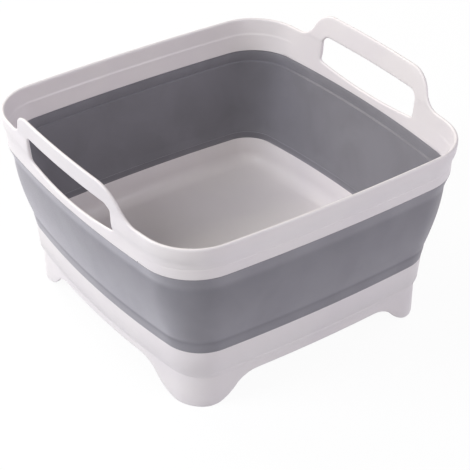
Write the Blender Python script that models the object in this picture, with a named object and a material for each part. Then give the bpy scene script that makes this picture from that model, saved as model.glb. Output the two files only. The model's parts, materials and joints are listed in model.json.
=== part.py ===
"""Collapsible sink: a square basin with two handles, whose soft wall folds down round its base.

Metres, +Z up. The table is at Z 0 and the middle of the basin at X 0, Y 0.
The handles face along X.
"""

import math

import bmesh
import bpy
from mathutils import Vector

MM = 0.001

# Outer outline at the top of the rim frame
RIM_HALF_X = 152.0 * MM
RIM_HALF_Y = 147.4 * MM
RIM_CORNER = 46.6 * MM
HANDLE_SIDE_BOW = 11.6 * MM
PLAIN_SIDE_BOW = 6.0 * MM

# How far the rim's foot and the wall's foot lie inside that outline
RIM_FOOT_IN_X = 2.4 * MM
RIM_FOOT_IN_Y = 3.1 * MM
RIM_FOOT_CORNER = 46.4 * MM
WALL_FOOT_IN_X = 20.4 * MM
WALL_FOOT_IN_Y = 16.4 * MM
WALL_FOOT_CORNER = 33.8 * MM

# Heights, stacked from the table up
TRAY_HEIGHT = 57.3 * MM
WALL_HEIGHT = 80.9 * MM
RIM_HEIGHT = 29.6 * MM
HANDLE_RISE = 26.0 * MM

# Rim frame
RIM_TOP_THICKNESS = 2.9 * MM
RIM_FOOT_THICKNESS = 2.5 * MM
RIM_GROOVE_DEPTH = 0.5 * MM
# Outer face from foot to top: share of the rim's height, share of the foot's inset
RIM_FACE_SHARES = (
    (0.17, 0.98),
    (0.28, 0.95),
    (0.45, 0.79),
    (0.64, 0.25),
    (0.81, 0.04),
    (1.0, 0.0),
)
RIM_GROOVE_SHARE = 0.31

# Handles; the shoulder takes its share of the side's two arcs
HANDLE_LEAN_SHARE = 0.2
HANDLE_SHOULDER_SHARE = 0.568
HANDLE_TOP_HALF = 52.0 * MM
HANDLE_FOOT_HALF = 91.0 * MM
HANDLE_BAR = 19.5 * MM
HOLE_HALF = 61.4 * MM
HOLE_CORNER = 7.5 * MM
HOLE_SILL = 7.0 * MM
HOLE_SAG = 5.3 * MM

# Soft wall
WALL_THICKNESS = 2.2 * MM
UPPER_CREASE_DROP = 11.4 * MM
LOWER_CREASE_RISE = 10.9 * MM
LIP_BULGE_RISE = 8.8 * MM
# Insets of the creases, and of the cuts between the bands, as shares of the wall's own inset
UPPER_CREASE_SHARE = 0.23
LOWER_CREASE_SHARE = 0.913
LIP_BULGE_SHARE = 0.885
BAND_CUT_SHARES = (0.22, 0.40, 0.57, 0.74, 0.875)
# Share of the panel's fall that lies in the outer half of its inset
PANEL_FALL_SHARE = 0.657

# Tongues on the soft wall's edges, in grooves of the two rigid mouldings
TONGUE_THICKNESS = 0.9 * MM
TONGUE_HEIGHT = 3.5 * MM
TRAY_TONGUE_IN = 1.6 * MM
CLEARANCE = 0.3 * MM

# Base tray
BOWL_IN = 6.0 * MM
BOWL_CORNER = 26.0 * MM
BOWL_DRAFT = 2.5 * MM
COVE_RADIUS = 14.0 * MM
FLOOR_TOP = 33.0 * MM
FLOOR_THICKNESS = 2.5 * MM
CHANNEL_RISE = 5.0 * MM
STEP_HEIGHT = 30.0 * MM
SHOULDER_RISE = 5.0 * MM
SHOULDER_IN = 1.6 * MM
SKIRT_IN_X = 5.0 * MM
SKIRT_IN_Y = 2.8 * MM
SKIRT_CORNER = 30.5 * MM
SKIRT_THICKNESS = 2.5 * MM

# Arches between the feet
ARCH_HEIGHT = 22.9 * MM
HANDLE_ARCH_HALF = 56.0 * MM
HANDLE_ARCH_FOOT_HALF = 105.0 * MM
PLAIN_ARCH_HALF = 60.0 * MM
PLAIN_ARCH_FOOT_HALF = 107.5 * MM
ARCH_SHOULDER_SHARE = 0.43

# Fineness of the curves, and how far a cutter passes what it cuts
SIDE_STEPS = 3
CORNER_STEPS = 8
ARC_STEPS = 6
COVE_STEPS = 4
BAND_STEPS = 2
OVERRUN = 8.0 * MM
SHARP_ANGLE = math.radians(35.0)

RIM_FOOT_Z = TRAY_HEIGHT + WALL_HEIGHT
RIM_TOP_Z = RIM_FOOT_Z + RIM_HEIGHT
HANDLE_TOP_Z = RIM_TOP_Z + HANDLE_RISE
UPPER_CREASE_Z = RIM_FOOT_Z - UPPER_CREASE_DROP
LOWER_CREASE_Z = TRAY_HEIGHT + LOWER_CREASE_RISE
SHOULDER_Z = STEP_HEIGHT + SHOULDER_RISE
WALL_IN = WALL_FOOT_IN_X - RIM_FOOT_IN_X

# A shape is an outline's half lengths, its corner radius and the bow of its sides
RIM_TOP = (RIM_HALF_X, RIM_HALF_Y, RIM_CORNER, HANDLE_SIDE_BOW, PLAIN_SIDE_BOW)
RIM_FOOT = (
    RIM_HALF_X - RIM_FOOT_IN_X,
    RIM_HALF_Y - RIM_FOOT_IN_Y,
    RIM_FOOT_CORNER,
    HANDLE_SIDE_BOW,
    PLAIN_SIDE_BOW,
)
WALL_FOOT = (
    RIM_HALF_X - WALL_FOOT_IN_X,
    RIM_HALF_Y - WALL_FOOT_IN_Y,
    WALL_FOOT_CORNER,
    HANDLE_SIDE_BOW,
    PLAIN_SIDE_BOW,
)
BOWL = (WALL_FOOT[0] - BOWL_IN, WALL_FOOT[1] - BOWL_IN, BOWL_CORNER, HANDLE_SIDE_BOW, PLAIN_SIDE_BOW)
SKIRT = (
    WALL_FOOT[0] - SKIRT_IN_X,
    WALL_FOOT[1] - SKIRT_IN_Y,
    SKIRT_CORNER,
    HANDLE_SIDE_BOW,
    PLAIN_SIDE_BOW,
)


def mix(first, second, share):
    """The shape that lies this share of the way from the first to the second."""
    return tuple(a + (b - a) * share for a, b in zip(first, second))


def section(inset):
    """The outer shape where the handle sides lie this far inside the rim top."""
    if inset <= RIM_FOOT_IN_X:
        return mix(RIM_TOP, RIM_FOOT, inset / RIM_FOOT_IN_X)
    return mix(RIM_FOOT, WALL_FOOT, (inset - RIM_FOOT_IN_X) / WALL_IN)


def arc(centre, radius, start, end, steps):
    """Points along an arc, with both ends."""
    angles = [start + (end - start) * step / steps for step in range(steps + 1)]
    return [(centre[0] + radius * math.cos(a), centre[1] + radius * math.sin(a)) for a in angles]


def outline(shape, inset=0.0):
    """Points round a square with bowed sides and round corners, moved in parallel to itself."""
    half_x, half_y, corner, bow_x, bow_y = shape
    radius_x = (half_y**2 + bow_x**2) / (2 * bow_x)
    radius_y = (half_x**2 + bow_y**2) / (2 * bow_y)
    centre_x = Vector((half_x - radius_x, 0.0))
    centre_y = Vector((0.0, half_y - radius_y))
    # The corner's centre lies at a known distance from each side's centre
    between = centre_y - centre_x
    reach_x = radius_x - corner
    reach_y = radius_y - corner
    along = (reach_x**2 - reach_y**2 + between.length_squared) / (2 * between.length)
    across = math.sqrt(reach_x**2 - along**2)
    direction = between.normalized()
    corner_centre = centre_x + along * direction + across * Vector((-direction.y, direction.x))
    turn_x = math.atan2(corner_centre.y, corner_centre.x - centre_x.x)
    turn_y = math.atan2(corner_centre.y - centre_y.y, corner_centre.x)
    quarter = arc(centre_x, radius_x - inset, 0.0, turn_x, SIDE_STEPS)
    quarter += arc(corner_centre, corner - inset, turn_x, turn_y, CORNER_STEPS)[1:]
    quarter += arc(centre_y, radius_y - inset, turn_y, math.pi / 2, SIDE_STEPS)[1:]
    back = quarter[::-1]
    return (
        quarter
        + [(-x, y) for x, y in back[1:]]
        + [(-x, -y) for x, y in quarter[1:]]
        + [(x, -y) for x, y in back[1:-1]]
    )


def level(shape, height, inset=0.0):
    """One loop of a loft, all at one height."""
    return [(x, y, height) for x, y in outline(shape, inset)]


def wall_height(inset):
    """Height of the soft wall's outer face where it lies this far inside the rim top."""
    share = (inset - RIM_FOOT_IN_X) / WALL_IN
    if share <= UPPER_CREASE_SHARE:
        return RIM_FOOT_Z - UPPER_CREASE_DROP * share / UPPER_CREASE_SHARE
    panel = (share - UPPER_CREASE_SHARE) / (LOWER_CREASE_SHARE - UPPER_CREASE_SHARE)
    return UPPER_CREASE_Z - (UPPER_CREASE_Z - LOWER_CREASE_Z) * panel ** math.log(PANEL_FALL_SHARE, 0.5)


def wall_rates():
    """How fast the outline moves in along its own normal, at each of its points."""
    rates = []
    for top, inside, foot in zip(outline(RIM_FOOT), outline(RIM_FOOT, CLEARANCE), outline(WALL_FOOT)):
        normal = (Vector(inside) - Vector(top)).normalized()
        rates.append((Vector(foot) - Vector(top)).dot(normal) / WALL_IN)
    return rates


def wall_loop(inset, inner_face, gap=0.0):
    """One loop of the soft wall at an inset, on its outer or its inner face."""
    points = outline(section(inset), gap)
    back = WALL_THICKNESS if inner_face else 0.0
    heights = [wall_height(inset - back / rate) for rate in wall_rates()]
    return [(x, y, height) for (x, y), height in zip(points, heights)]


def tongue(shape, middle, root_z, tip_z, gap=0.0):
    """Four loops of a tongue, or of its groove with a gap, from its outer root to its inner root."""
    half = TONGUE_THICKNESS / 2 + gap
    return [
        level(shape, root_z, middle - half),
        level(shape, tip_z, middle - half),
        level(shape, tip_z, middle + half),
        level(shape, root_z, middle + half),
    ]


def ogee(start, end, first_share):
    """Two touching arcs from a level line down to a lower level line."""
    across = end[0] - start[0]
    down = start[1] - end[1]
    radii = (across**2 + down**2) / (2 * down)
    first_radius = radii * first_share
    second_radius = radii - first_radius
    turn = 2 * math.atan2(down, across)
    upper = (start[0], start[1] - first_radius)
    lower = (end[0], end[1] + second_radius)
    points = arc(upper, first_radius, math.pi / 2, math.pi / 2 - turn, ARC_STEPS)
    return points + arc(lower, second_radius, -math.pi / 2 - turn, -math.pi / 2, ARC_STEPS)[1:]


def mirrored(points):
    """The same points on the other side of the middle, in the opposite order."""
    return [(-across, height) for across, height in reversed(points)]


def make_object(name, mesh, collection, material=None):
    """An object that holds the finished bmesh, shaded smooth but for its sharp edges."""
    bmesh.ops.recalc_face_normals(mesh, faces=mesh.faces)
    data = bpy.data.meshes.new(name)
    mesh.to_mesh(data)
    mesh.free()
    data.shade_smooth()
    data.set_sharp_from_angle(angle=SHARP_ANGLE)
    if material:
        data.materials.append(material)
    thing = bpy.data.objects.new(name, data)
    collection.objects.link(thing)
    return thing


def loft(name, loops, collection, material, capped=False):
    """A solid through the loops: a closed ring, or a solid with its first and last loop filled."""
    mesh = bmesh.new()
    rows = [[mesh.verts.new(point) for point in loop] for loop in loops]
    pairs = list(zip(rows, rows[1:]))
    if capped:
        mesh.faces.new(rows[0])
        mesh.faces.new(rows[-1])
    else:
        pairs.append((rows[-1], rows[0]))
    for first, second in pairs:
        for i in range(len(first)):
            mesh.faces.new((first[i - 1], first[i], second[i], second[i - 1]))
    return make_object(name, mesh, collection, material)


def prism(name, points, half_length, along_x, collection):
    """A cutter: an upright outline drawn out evenly to both sides of the middle."""
    mesh = bmesh.new()
    if along_x:
        corners = [mesh.verts.new((-half_length, across, height)) for across, height in points]
        draw = Vector((2 * half_length, 0.0, 0.0))
    else:
        corners = [mesh.verts.new((across, -half_length, height)) for across, height in points]
        draw = Vector((0.0, 2 * half_length, 0.0))
    face = mesh.faces.new(corners)
    drawn = bmesh.ops.extrude_face_region(mesh, geom=[face])
    moved = [item for item in drawn["geom"] if isinstance(item, bmesh.types.BMVert)]
    bmesh.ops.translate(mesh, verts=moved, vec=draw)
    cutter = make_object(name, mesh, collection)
    cutter.hide_render = True
    cutter.display_type = "WIRE"
    return cutter


def cut(thing, cutter):
    """Takes the cutter away from the object."""
    modifier = thing.modifiers.new(cutter.name, "BOOLEAN")
    modifier.operation = "DIFFERENCE"
    modifier.solver = "EXACT"
    modifier.object = cutter


def make_material(name, colour, roughness):
    material = bpy.data.materials.new(name)
    material.use_nodes = True
    shader = material.node_tree.nodes["Principled BSDF"]
    shader.inputs["Base Color"].default_value = (*colour, 1.0)
    shader.inputs["Roughness"].default_value = roughness
    shader.inputs["Metallic"].default_value = 0.0
    return material


def handle_trim(cutters):
    """Everything above the rim but the two handles."""
    side = ogee((HANDLE_TOP_HALF, HANDLE_TOP_Z), (HANDLE_FOOT_HALF, RIM_TOP_Z), HANDLE_SHOULDER_SHARE)
    far = RIM_HALF_Y + HANDLE_RISE
    roof = HANDLE_TOP_Z + 2 * OVERRUN
    points = [(-far, RIM_TOP_Z)] + mirrored(side) + side
    points += [(far, RIM_TOP_Z), (far, roof), (-far, roof)]
    return prism("handle_trim", points, RIM_HALF_X + HANDLE_RISE, True, cutters)


def handle_holes(cutters):
    """The finger holes of both handles, with a sagging sill and two rounded upper corners."""
    sill = RIM_FOOT_Z + HOLE_SILL
    top = HANDLE_TOP_Z - HANDLE_BAR
    sill_radius = (HOLE_HALF**2 + HOLE_SAG**2) / (2 * HOLE_SAG)
    turn = math.asin(HOLE_HALF / sill_radius)
    down = -math.pi / 2
    points = arc((0.0, sill + sill_radius), sill_radius, down - turn, down + turn, ARC_STEPS)
    corner_centre = (HOLE_HALF - HOLE_CORNER, top - HOLE_CORNER)
    corner = arc(corner_centre, HOLE_CORNER, 0.0, math.pi / 2, ARC_STEPS)
    return prism("handle_holes", points + corner + mirrored(corner), RIM_HALF_X + HANDLE_RISE, True, cutters)


def make_rim_frame(parts, cutters, white):
    """The rigid rim with its two handles, first made as one tall ring."""
    lean = HANDLE_LEAN_SHARE * (HANDLE_RISE + OVERRUN)
    above = HANDLE_TOP_Z + OVERRUN
    groove_z = RIM_FOOT_Z + RIM_GROOVE_SHARE * RIM_HEIGHT
    loops = [level(RIM_FOOT, RIM_FOOT_Z)]
    for height_share, inset_share in RIM_FACE_SHARES:
        loops.append(level(section(inset_share * RIM_FOOT_IN_X), RIM_FOOT_Z + height_share * RIM_HEIGHT))
    loops.insert(3, level(RIM_FOOT, groove_z, RIM_GROOVE_DEPTH))
    loops.append(level(RIM_TOP, above, -lean))
    loops.append(level(RIM_TOP, above, RIM_TOP_THICKNESS - lean))
    loops.append(level(RIM_TOP, RIM_TOP_Z, RIM_TOP_THICKNESS))
    for height_share, inset_share in RIM_FACE_SHARES[3:1:-1]:
        shape = section(inset_share * RIM_FOOT_IN_X)
        thickness = RIM_FOOT_THICKNESS + height_share * (RIM_TOP_THICKNESS - RIM_FOOT_THICKNESS)
        loops.append(level(shape, RIM_FOOT_Z + height_share * RIM_HEIGHT, thickness))
    loops.append(level(RIM_FOOT, RIM_FOOT_Z, RIM_FOOT_THICKNESS))
    tip = RIM_FOOT_Z + TONGUE_HEIGHT
    loops += reversed(tongue(RIM_FOOT, RIM_FOOT_THICKNESS / 2, RIM_FOOT_Z, tip, CLEARANCE))
    rim = loft("rim_frame", loops, parts, white)
    cut(rim, handle_trim(cutters))
    cut(rim, handle_holes(cutters))


def make_top_lip(parts, grey, cuts):
    """The soft wall's upper edge, down to the first cut inside its upper crease."""
    top = RIM_FOOT_Z - CLEARANCE
    half_gap = CLEARANCE / 2
    loops = [
        level(RIM_FOOT, top),
        wall_loop((RIM_FOOT_IN_X + cuts[0]) / 2, False),
        wall_loop(cuts[0], False, -half_gap),
        wall_loop(cuts[0], True, -half_gap),
        level(RIM_FOOT, top, RIM_FOOT_THICKNESS),
    ]
    tip = top + TONGUE_HEIGHT
    loops += reversed(tongue(RIM_FOOT, RIM_FOOT_THICKNESS / 2, top, tip))
    loft("wall_top_lip", loops, parts, grey)


def make_band(name, outer_cut, inner_cut, parts, grey):
    """One ring of the soft wall, between two upright cuts that follow the wall's outline."""
    half_gap = CLEARANCE / 2
    insets = [outer_cut + (inner_cut - outer_cut) * step / BAND_STEPS for step in range(BAND_STEPS + 1)]
    gaps = [half_gap] + [0.0] * (BAND_STEPS - 1) + [-half_gap]
    places = list(zip(insets, gaps))
    loops = [wall_loop(inset, False, gap) for inset, gap in places]
    loops += [wall_loop(inset, True, gap) for inset, gap in reversed(places)]
    loft(name, loops, parts, grey)


def make_bottom_lip(parts, grey, cuts):
    """The soft wall's lower edge, which widens into the thick lip on the base tray."""
    foot = TRAY_HEIGHT + CLEARANCE
    half_gap = CLEARANCE / 2
    crease = section(RIM_FOOT_IN_X + LOWER_CREASE_SHARE * WALL_IN)
    bulge = section(RIM_FOOT_IN_X + LIP_BULGE_SHARE * WALL_IN)
    loops = [
        wall_loop(cuts[-1], True, half_gap),
        wall_loop(cuts[-1], False, half_gap),
        level(crease, LOWER_CREASE_Z),
        level(bulge, TRAY_HEIGHT + LIP_BULGE_RISE),
        level(WALL_FOOT, foot),
    ]
    loops += tongue(WALL_FOOT, TRAY_TONGUE_IN, foot, foot - TONGUE_HEIGHT)
    loops.append(level(BOWL, foot))
    loops.append(level(crease, LOWER_CREASE_Z, WALL_THICKNESS))
    loft("wall_bottom_lip", loops, parts, grey)


def arches(name, top_half, foot_half, along_x, cutters):
    """The arch that leaves a foot at each end of two opposite sides."""
    side = ogee((top_half, ARCH_HEIGHT), (foot_half, 0.0), ARCH_SHOULDER_SHARE)
    points = mirrored(side) + side + [(foot_half, -OVERRUN), (-foot_half, -OVERRUN)]
    return prism(name, points, max(RIM_HALF_X, RIM_HALF_Y), along_x, cutters)


def cove(radius, start):
    """Insets and heights along the bowl's round lower edge, from its side in to its floor."""
    middle = (BOWL_DRAFT + COVE_RADIUS, FLOOR_TOP + COVE_RADIUS)
    return arc(middle, radius, math.pi + start, 1.5 * math.pi, COVE_STEPS)


def make_base_tray(parts, cutters, white):
    """The rigid bowl bottom, with the skirt that reaches down to the four feet."""
    shoulder = tuple(size - SHOULDER_IN for size in WALL_FOOT[:3]) + WALL_FOOT[3:]
    channel_top = FLOOR_TOP + CHANNEL_RISE
    channel_share = (channel_top - SHOULDER_Z) / (TRAY_HEIGHT - SHOULDER_Z)
    channel = mix(shoulder, WALL_FOOT, channel_share)
    loops = [level(BOWL, height, inset) for inset, height in reversed(cove(COVE_RADIUS, 0.0))]
    loops.append(level(BOWL, TRAY_HEIGHT))
    loops += reversed(
        tongue(WALL_FOOT, TRAY_TONGUE_IN, TRAY_HEIGHT, TRAY_HEIGHT - TONGUE_HEIGHT, CLEARANCE)
    )
    loops += [
        level(WALL_FOOT, TRAY_HEIGHT),
        level(shoulder, SHOULDER_Z),
        level(SKIRT, STEP_HEIGHT),
        level(SKIRT, 0.0),
        level(SKIRT, 0.0, SKIRT_THICKNESS),
        level(SKIRT, STEP_HEIGHT - SKIRT_THICKNESS / 2, SKIRT_THICKNESS),
        level(shoulder, SHOULDER_Z - SKIRT_THICKNESS / 2, SKIRT_THICKNESS),
        level(channel, channel_top, SKIRT_THICKNESS),
    ]
    under = COVE_RADIUS + FLOOR_THICKNESS
    start = math.asin((COVE_RADIUS - CHANNEL_RISE) / under)
    loops += [level(BOWL, height, inset) for inset, height in cove(under, start)]
    tray = loft("base_tray", loops, parts, white, capped=True)
    handle_arches = (HANDLE_ARCH_HALF, HANDLE_ARCH_FOOT_HALF)
    plain_arches = (PLAIN_ARCH_HALF, PLAIN_ARCH_FOOT_HALF)
    cut(tray, arches("handle_side_arches", *handle_arches, True, cutters))
    cut(tray, arches("plain_side_arches", *plain_arches, False, cutters))


def main():
    for thing in list(bpy.data.objects):
        bpy.data.objects.remove(thing)
    parts = bpy.data.collections.new("collapsible_sink")
    cutters = bpy.data.collections.new("cutters")
    bpy.context.scene.collection.children.link(parts)
    bpy.context.scene.collection.children.link(cutters)
    white = make_material("white_plastic", (0.72, 0.68, 0.71), 0.35)
    grey = make_material("grey_rubber", (0.17, 0.17, 0.20), 0.6)
    cuts = [RIM_FOOT_IN_X + share * WALL_IN for share in BAND_CUT_SHARES]
    make_rim_frame(parts, cutters, white)
    make_top_lip(parts, grey, cuts)
    for number, (outer_cut, inner_cut) in enumerate(zip(cuts, cuts[1:])):
        make_band(f"wall_band_{len(cuts) - 1 - number}", outer_cut, inner_cut, parts, grey)
    make_bottom_lip(parts, grey, cuts)
    make_base_tray(parts, cutters, white)


main()
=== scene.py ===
"""Collapsible sink: a rigid rim with two handles, a soft folding wall and a footed base tray.

Metres, +Z up, the table at Z 0. The handles face along X and the plain sides along Y.
"""

import json
import math
from functools import lru_cache

import bmesh
import bpy
from bpy.props import FloatProperty, FloatVectorProperty, IntProperty, PointerProperty
from mathutils import Matrix, Vector

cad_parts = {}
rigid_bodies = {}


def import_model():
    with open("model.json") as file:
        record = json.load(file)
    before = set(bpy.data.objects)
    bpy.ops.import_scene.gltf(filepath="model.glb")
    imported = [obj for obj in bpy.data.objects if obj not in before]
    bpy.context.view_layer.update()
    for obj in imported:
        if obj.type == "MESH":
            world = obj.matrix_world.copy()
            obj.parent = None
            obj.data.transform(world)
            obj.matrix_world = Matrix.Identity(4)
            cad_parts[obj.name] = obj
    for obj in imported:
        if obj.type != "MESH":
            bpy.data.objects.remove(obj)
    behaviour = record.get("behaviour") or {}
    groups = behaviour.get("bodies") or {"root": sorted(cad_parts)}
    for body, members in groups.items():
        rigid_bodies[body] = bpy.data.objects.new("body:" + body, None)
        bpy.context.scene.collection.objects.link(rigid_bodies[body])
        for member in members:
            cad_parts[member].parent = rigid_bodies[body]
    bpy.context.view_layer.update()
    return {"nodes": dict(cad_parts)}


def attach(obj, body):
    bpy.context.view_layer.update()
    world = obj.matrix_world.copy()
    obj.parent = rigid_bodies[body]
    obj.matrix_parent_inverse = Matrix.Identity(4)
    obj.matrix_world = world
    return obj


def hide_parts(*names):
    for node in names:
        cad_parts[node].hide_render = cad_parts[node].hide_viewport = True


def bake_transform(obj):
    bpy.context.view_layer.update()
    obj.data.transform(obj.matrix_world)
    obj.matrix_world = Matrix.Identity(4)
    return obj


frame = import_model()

bl_info = {
    "name": "Collapsible sink",
    "version": (1, 0, 0),
    "blender": (4, 5, 0),
    "location": "View3D > Sidebar > Sink",
    "description": "Builds the rim, the soft wall and the base tray of a collapsible sink",
    "category": "Object",
}

MM = 0.001


def size(name, millimetres, description):
    """A length that a user can change."""
    return FloatProperty(
        name=name,
        description=description,
        default=millimetres * MM,
        min=0.0,
        precision=5,
        unit="LENGTH",
    )


def share(name, value, description):
    """A part of another size, from 0 to 1."""
    return FloatProperty(
        name=name, description=description, default=value, min=0.0, max=1.0, subtype="FACTOR"
    )


def colour(name, value, description):
    """A colour that a user can change."""
    return FloatVectorProperty(
        name=name, description=description, default=value, size=3, min=0.0, max=1.0, subtype="COLOR"
    )


def count(name, value, description):
    """How many faces a run has."""
    return IntProperty(name=name, description=description, default=value, min=4)


def angle(name, degrees, description):
    """A turn that a user can change."""
    return FloatProperty(
        name=name,
        description=description,
        default=math.radians(degrees),
        subtype="ANGLE",
        unit="ROTATION",
    )


# Sizes and colours


class SinkOutlineSizes(bpy.types.PropertyGroup):
    """Sizes that the rim, the wall and the tray share."""

    rim_half_x: size("Rim half X", 152.0, "Middle of a handle side to the middle of the basin")
    rim_half_y: size("Rim half Y", 147.4, "Middle of a plain side to the middle of the basin")
    rim_corner: size("Rim corner", 46.6, "Corner radius at the top of the rim")
    handle_side_bow: size("Handle side bow", 11.6, "How far a handle side bows out")
    plain_side_bow: size("Plain side bow", 6.0, "How far a plain side bows out")
    rim_foot_in_x: size("Rim foot in X", 2.4, "How far the rim's foot lies inside its top, along X")
    rim_foot_in_y: size("Rim foot in Y", 3.1, "How far the rim's foot lies inside its top, along Y")
    rim_foot_corner: size("Rim foot corner", 46.4, "Corner radius at the rim's foot")
    wall_foot_in_x: size("Wall foot in X", 20.4, "How far the wall's foot lies inside the rim, along X")
    wall_foot_in_y: size("Wall foot in Y", 16.4, "How far the wall's foot lies inside the rim, along Y")
    wall_foot_corner: size("Wall foot corner", 33.8, "Corner radius at the wall's foot")
    tray_height: size("Tray height", 57.3, "Top of the base tray above the table")
    wall_height: size("Wall height", 80.9, "Height of the soft wall when it stands open")
    rim_height: size("Rim height", 29.6, "Height of the rim without its handles")
    rim_foot_thickness: size("Rim foot thickness", 3.6, "Wall of the rim where it meets the soft wall")
    bowl_in: size("Bowl inset", 6.0, "From the wall's foot in to the bowl's edge")
    bowl_corner: size("Bowl corner", 26.0, "Corner radius of the bowl's edge")
    side_steps: count("Side steps", 20, "Faces along half a side")
    corner_steps: count("Corner steps", 16, "Faces round a corner")


class SinkRimSizes(bpy.types.PropertyGroup):
    """Sizes of the rim frame and its handles."""

    top_thickness: size("Top thickness", 2.9, "Wall of the rim at its upper edge")
    foot_edge: size("Foot edge", 0.45, "Radius of the rim's lower edges")
    groove_depth: size("Groove depth", 0.3, "Depth of the fine line round the rim")
    groove_height: size("Groove height", 9.2, "Fine line above the rim's foot")
    ledge_depth: size("Ledge depth", 0.25, "How far the inner ledge stands out")
    ledge_height: size("Ledge height", 15.3, "Inner ledge above the rim's foot")
    handle_rise: size("Handle rise", 26.0, "Top of a handle above the rim")
    handle_lean: share("Handle lean", 0.2, "How far a handle leans out for its height")
    handle_top_half: size("Handle top half", 52.0, "Half of a handle's straight top")
    handle_foot_half: size("Handle foot half", 91.0, "Half of a handle where it meets the rim")
    handle_shoulder: share("Handle shoulder", 0.568, "The upper arc's part of a handle's side")
    handle_bar: size("Handle bar", 19.5, "Height of the bar above the finger hole")
    hole_half: size("Hole half", 61.4, "Half of the finger hole's length")
    hole_corner: size("Hole corner", 7.5, "Radius of the finger hole's upper corners")
    hole_lower_corner: size("Hole lower corner", 2.6, "Run of the rounding at the hole's lower corners")
    hole_sill: size("Hole sill", 7.0, "Lowest point of the hole above the rim's foot")
    hole_sag: size("Hole sag", 5.3, "How far the sill sags between its ends")


class SinkWallSizes(bpy.types.PropertyGroup):
    """Sizes of the soft folding wall."""

    thickness: size("Wall thickness", 2.2, "Thickness of the soft wall")
    upper_crease_drop: size("Upper crease drop", 11.4, "Upper fold line below the rim")
    lower_crease_rise: size("Lower crease rise", 10.9, "Lower fold line above the tray")
    lip_bulge_rise: size("Lip bulge rise", 8.8, "Widest line of the lower lip above the tray")
    upper_crease_share: share("Upper crease inset", 0.23, "Inset of the upper fold line")
    lower_crease_share: share("Lower crease inset", 0.913, "Inset of the lower fold line")
    lip_bulge_share: share("Lip bulge inset", 0.901, "Inset of the lower lip's widest line")
    panel_fall_share: share("Panel fall", 0.657, "Part of the panel's fall in its outer half")
    inner_straight: share("Inner straightness", 0.6, "How nearly straight the panel's inner face is")
    lip_lean: share("Lip lean", 0.05, "How far the lower lip's inner face leans out for its height")
    panel_swell: size("Panel swell", 2.6, "Extra thickness of the panel at its lower end")
    hinge_drop: size("Hinge drop", 9.8, "Lower edge of the thin hinge below the rim, inside")
    hinge_share: share("Hinge", 0.36, "Thickness of the hinge under the rim, by the wall's")
    seam_rise: size("Seam rise", 6.0, "Fine line above the bowl's edge, inside")
    seam_depth: size("Seam depth", 0.35, "Depth of the fine line above the bowl's edge")
    crease_softness: size("Crease softness", 3.3, "Run of the rounding at a fold line")


class SinkTraySizes(bpy.types.PropertyGroup):
    """Sizes of the base tray and its feet."""

    bowl_draft: size("Bowl draft", 2.5, "How far the bowl's side leans in down to the cove")
    cove_radius: size("Cove radius", 14.0, "Radius between the bowl's side and its floor")
    floor_top: size("Floor height", 33.0, "Top of the floor above the table")
    floor_thickness: size("Floor thickness", 2.5, "Thickness of the floor")
    channel_rise: size("Channel rise", 5.0, "Top of the channel behind the skirt above the floor")
    step_height: size("Step height", 30.0, "Lower edge of the step above the table")
    shoulder_rise: size("Shoulder rise", 5.0, "Height of the step")
    shoulder_in: size("Shoulder inset", 1.6, "How far the tray's side leans in down to the step")
    skirt_in_x: size("Skirt inset X", 5.0, "From the wall's foot in to the skirt, along X")
    skirt_in_y: size("Skirt inset Y", 2.8, "From the wall's foot in to the skirt, along Y")
    skirt_corner: size("Skirt corner", 30.5, "Corner radius of the skirt")
    skirt_thickness: size("Skirt thickness", 2.5, "Thickness of the skirt")
    arch_height: size("Arch height", 22.9, "Height of the arches between the feet")
    handle_arch_half: size("Handle side arch half", 56.0, "Half of the level part, handle sides")
    handle_arch_foot: size("Handle side arch foot", 105.0, "Half of the arch on the table, handle sides")
    plain_arch_half: size("Plain side arch half", 60.0, "Half of the level part, plain sides")
    plain_arch_foot: size("Plain side arch foot", 107.5, "Half of the arch on the table, plain sides")
    arch_shoulder: share("Arch shoulder", 0.43, "The upper arc's part of an arch's side")
    foot_edge: size("Foot edge", 1.0, "Run of the rounding at the skirt's lower edge")
    step_softness: size("Step softness", 1.0, "Run of the rounding at the step")
    line_depth: size("Line depth", 0.3, "Depth of the fine line over the step")


class SinkFinishes(bpy.types.PropertyGroup):
    """Colours and roughness of the two plastics."""

    plastic: colour("Plastic", (0.72, 0.688, 0.708), "Rigid off-white plastic")
    plastic_shade: colour("Plastic shade", (0.695, 0.66, 0.69), "Slow drift in the rigid plastic")
    rubber: colour("Soft wall", (0.123, 0.121, 0.143), "Soft grey wall")
    rubber_shade: colour("Soft wall shade", (0.103, 0.101, 0.120), "Slow drift in the soft wall")
    plastic_roughness: share("Plastic roughness", 0.36, "Roughness of the rigid plastic")
    rubber_roughness: share("Soft wall roughness", 0.52, "Roughness of the soft wall")


class SinkStageSizes(bpy.types.PropertyGroup):
    """The camera and the floor."""

    camera_place: FloatVectorProperty(
        name="Camera place",
        description="Where the camera stands",
        default=(-0.64674, -0.90490, 0.81415),
        subtype="TRANSLATION",
        unit="LENGTH",
    )
    azimuth: angle("Azimuth", -35.940478, "Turn of the camera round the basin")
    elevation: angle("Elevation", 34.309801, "Height of the camera above the horizon")
    roll: angle("Roll", 0.365867, "Turn of the camera about its own line of sight")
    lens: FloatProperty(
        name="Lens", description="Focal length on a 36 mm sensor", default=121.436, unit="CAMERA"
    )
    floor_half: size("Floor half", 4000.0, "Half of the floor's side")


# Outlines

# Faces round a softened edge
SOFT_STEPS = 3


def rim_top_shape(sizes):
    """Half lengths, corner radius and side bows at the top of the rim."""
    return (
        sizes.rim_half_x,
        sizes.rim_half_y,
        sizes.rim_corner,
        sizes.handle_side_bow,
        sizes.plain_side_bow,
    )


def inner_shape(shape, in_x, in_y, corner):
    """A shape with shorter half lengths and a corner radius of its own."""
    return (shape[0] - in_x, shape[1] - in_y, corner, shape[3], shape[4])


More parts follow.
